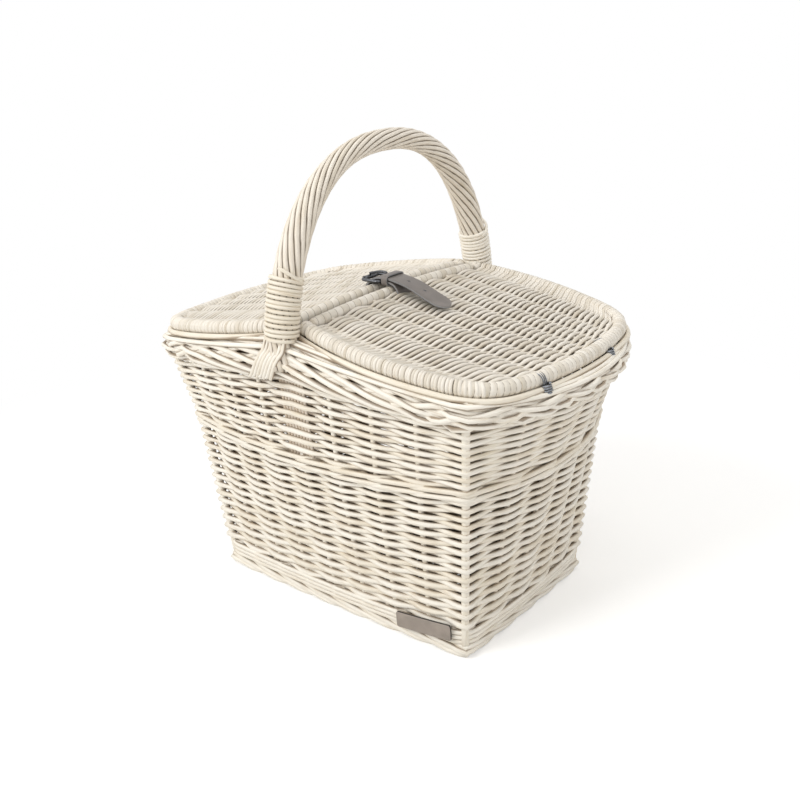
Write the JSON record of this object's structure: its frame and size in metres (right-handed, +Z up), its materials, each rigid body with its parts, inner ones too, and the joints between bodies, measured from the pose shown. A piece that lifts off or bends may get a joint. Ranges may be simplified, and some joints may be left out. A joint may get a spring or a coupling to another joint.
{
  "type": "picnic basket",
  "caption": "Willow picnic basket with tapered woven sides, hinged lids meeting under an arched handle of twisted rods, and a leather strap with a buckle.",
  "frame": {"origin": "on the surface the basket stands on, under the middle of its box", "axes": "+X to the right along the basket from lid hinge to lid hinge, +Y to the back across it, +Z up"},
  "size_m": [0.412, 0.2942, 0.408],
  "materials": {
    "willow_body": "whitewashed peeled willow, satin",
    "willow_handle": "whitewashed peeled willow, satin",
    "willow_lid": "whitewashed peeled willow, satin",
    "hinge_wire": "dark steel wire",
    "strap_leather": "smooth grey leather",
    "buckle_metal": "dark nickel plate",
    "tag_leather": "smooth grey leather"
  },
  "bodies": {
    "basket": {"foot_border": "willow_body", "bottom_wale": "willow_body", "lower_weave": "willow_body", "mid_wale": "willow_body", "upper_weave": "willow_body", "rim_border": "willow_body", "base_mat": "willow_body", "base_stick_1": "willow_body", "base_stick_2": "willow_body", "base_stick_3": "willow_body", "base_stick_4": "willow_body", "base_stick_5": "willow_body", "front_left_corner_post": "willow_body", "front_right_corner_post": "willow_body", "back_right_corner_post": "willow_body", "back_left_corner_post": "willow_body", "front_stake_1": "willow_body", "front_stake_2": "willow_body", "front_stake_3": "willow_body", "front_stake_4": "willow_body", "front_stake_5": "willow_body", "front_stake_6": "willow_body", "back_stake_1": "willow_body", "back_stake_2": "willow_body", "back_stake_3": "willow_body", "back_stake_4": "willow_body", "back_stake_5": "willow_body", "back_stake_6": "willow_body", "right_end_stake_1": "willow_body", "right_end_stake_2": "willow_body", "right_end_stake_3": "willow_body", "right_end_stake_4": "willow_body", "left_end_stake_1": "willow_body", "left_end_stake_2": "willow_body", "left_end_stake_3": "willow_body", "left_end_stake_4": "willow_body", "handle_bow": "willow_handle", "handle_rods": "willow_handle", "front_handle_binding": "willow_handle", "back_handle_binding": "willow_handle", "front_handle_tails": "willow_handle", "back_handle_tails": "willow_handle", "front_right_hinge_ring": "hinge_wire", "back_right_hinge_ring": "hinge_wire", "front_left_hinge_ring": "hinge_wire", "back_left_hinge_ring": "hinge_wire", "leather_tag": "tag_leather"},
    "right_lid": {"right_lid_hoop": "willow_lid", "right_lid_mid_bar": "willow_lid", "right_lid_weave": "willow_lid"},
    "left_lid": {"left_lid_hoop": "willow_lid", "left_lid_mid_bar": "willow_lid", "left_lid_weave": "willow_lid", "strap": "strap_leather", "strap_keeper": "strap_leather", "buckle_frame": "buckle_metal", "buckle_prong": "buckle_metal"}
  },
  "joints": [
    {"name": "right_lid_hinge", "type": "hinge", "parent": "basket", "child": "right_lid", "pos_m": [0.1831, 0, 0.241], "axis": [0, 1, 0], "range_deg": [0, 150], "deforming": ["strap", "strap_keeper"]},
    {"name": "left_lid_hinge", "type": "hinge", "parent": "basket", "child": "left_lid", "pos_m": [-0.1831, 0, 0.241], "axis": [0, -1, 0], "range_deg": [0, 150], "deforming": ["strap", "strap_keeper"]}
  ]
}
